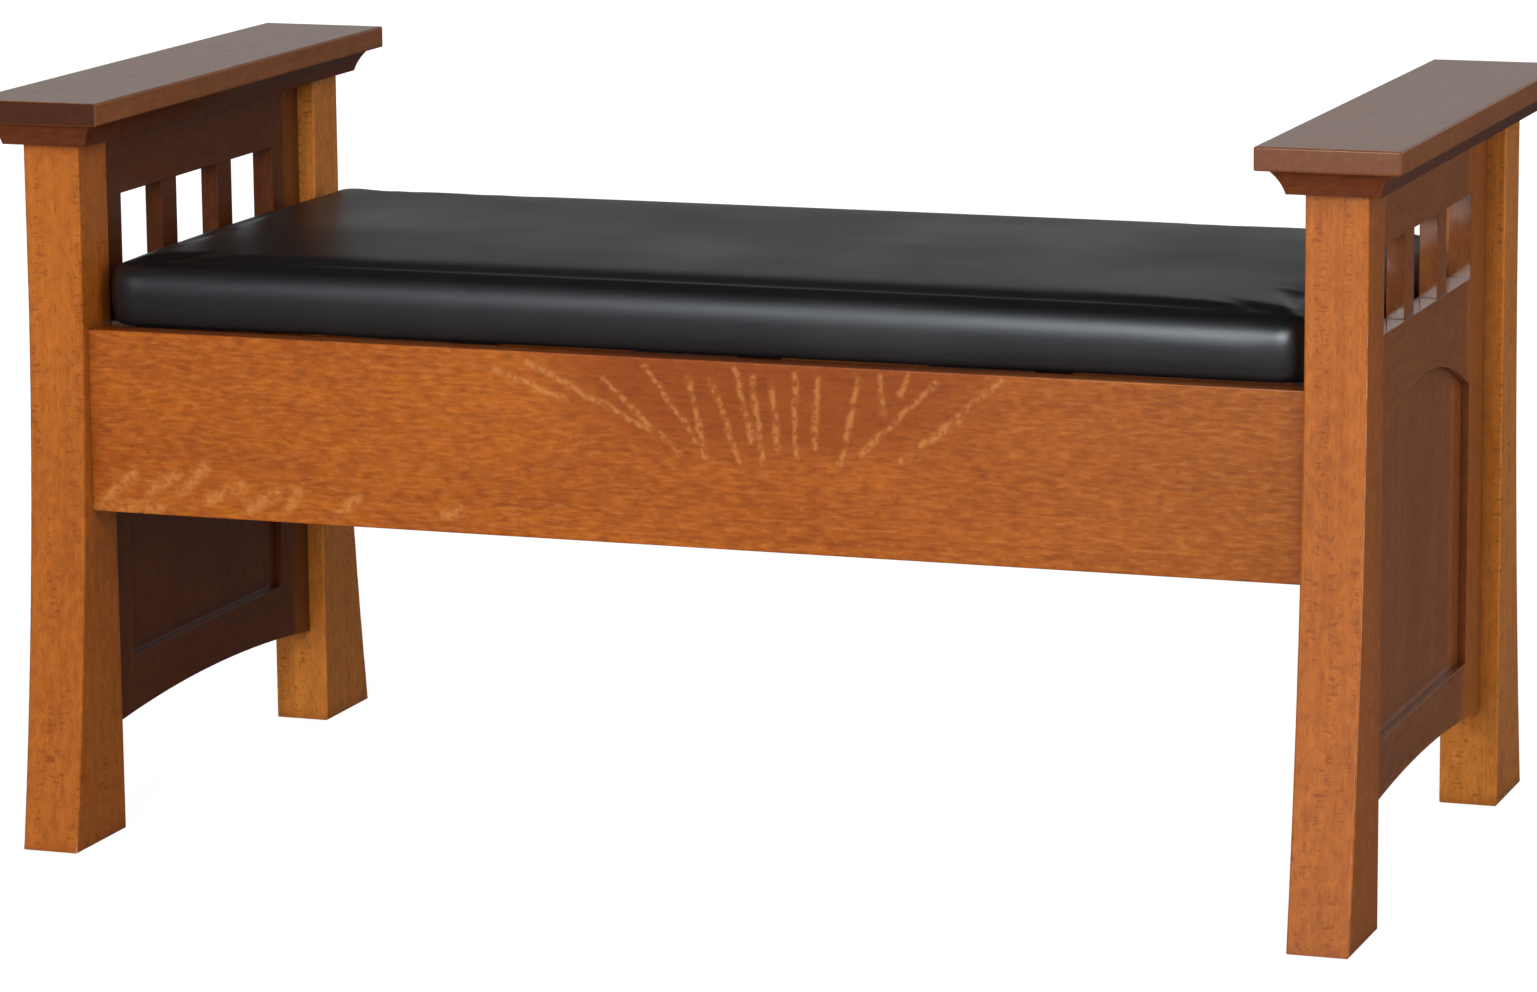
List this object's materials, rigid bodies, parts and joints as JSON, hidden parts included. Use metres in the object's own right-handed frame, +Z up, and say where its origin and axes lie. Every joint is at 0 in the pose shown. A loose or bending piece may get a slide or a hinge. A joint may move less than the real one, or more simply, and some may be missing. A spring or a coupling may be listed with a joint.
{
  "type": "settle",
  "caption": "Mission settle: flared posts, arched panelled ends with slats, flat arm caps on cove mouldings, a deep front rail and a black leather seat.",
  "frame": {"origin": "on the floor, under the middle of the seat", "axes": "+X along the seat, towards the sitter's left; +Y from the front to the back; +Z up"},
  "size_m": [1.219, 0.618, 0.639],
  "materials": {
    "post_oak": "satin lacquer over stained quartersawn oak, grain upright",
    "front_rail_oak": "satin lacquer over stained quartersawn oak, grain along the rail",
    "back_rail_oak": "satin lacquer over stained quartersawn oak, grain along the rail",
    "cap_oak": "satin lacquer over stained oak, grain front to back",
    "short_moulding_oak": "satin lacquer over stained oak, grain along the strip",
    "long_moulding_oak": "satin lacquer over stained oak, grain along the strip",
    "end_rail_oak": "satin lacquer over stained oak, grain front to back",
    "end_stile_oak": "satin lacquer over stained oak, grain upright",
    "panel_oak": "satin lacquer over stained oak, grain upright",
    "dowel_beech": "bare beech",
    "cleat_poplar": "brown stain on poplar, dull",
    "bearer_poplar": "brown stain on poplar, dull",
    "seat_plywood": "bare plywood",
    "seat_foam": "open-cell upholstery foam",
    "seat_leather": "smooth black upholstery leather, low sheen",
    "dust_cloth": "black non-woven cloth",
    "screw_steel": "zinc-plated steel",
    "glide_nylon": "moulded nylon"
  },
  "bodies": {
    "root": {"front_left_post": "post_oak", "front_right_post": "post_oak", "rear_left_post": "post_oak", "rear_right_post": "post_oak", "front_rail": "front_rail_oak", "back_rail": "back_rail_oak", "left_arm_cap": "cap_oak", "left_cap_moulding_front": "short_moulding_oak", "left_cap_moulding_rear": "short_moulding_oak", "left_cap_moulding_inner": "long_moulding_oak", "left_cap_moulding_outer": "long_moulding_oak", "left_end_top_rail": "end_rail_oak", "left_end_middle_rail": "end_rail_oak", "left_end_bottom_rail": "end_rail_oak", "left_end_front_stile": "end_stile_oak", "left_end_rear_stile": "end_stile_oak", "left_end_slat_1": "end_stile_oak", "left_end_slat_2": "end_stile_oak", "left_end_panel": "panel_oak", "left_cap_dowels": "dowel_beech", "left_end_cleat": "cleat_poplar", "right_arm_cap": "cap_oak", "right_cap_moulding_front": "short_moulding_oak", "right_cap_moulding_rear": "short_moulding_oak", "right_cap_moulding_inner": "long_moulding_oak", "right_cap_moulding_outer": "long_moulding_oak", "right_end_top_rail": "end_rail_oak", "right_end_middle_rail": "end_rail_oak", "right_end_bottom_rail": "end_rail_oak", "right_end_front_stile": "end_stile_oak", "right_end_rear_stile": "end_stile_oak", "right_end_slat_1": "end_stile_oak", "right_end_slat_2": "end_stile_oak", "right_end_panel": "panel_oak", "right_cap_dowels": "dowel_beech", "right_end_cleat": "cleat_poplar", "front_cleat": "cleat_poplar", "back_cleat": "cleat_poplar", "seat_bearer_1": "bearer_poplar", "seat_bearer_2": "bearer_poplar", "seat_bearer_3": "bearer_poplar", "seat_board": "seat_plywood", "seat_foam": "seat_foam", "seat_cover": "seat_leather", "seat_dust_cover": "dust_cloth", "cleat_screws": "screw_steel", "end_cleat_screws": "screw_steel", "bearer_screws": "screw_steel", "seat_screws": "screw_steel", "foot_glides": "glide_nylon"}
  },
  "joints": []
}
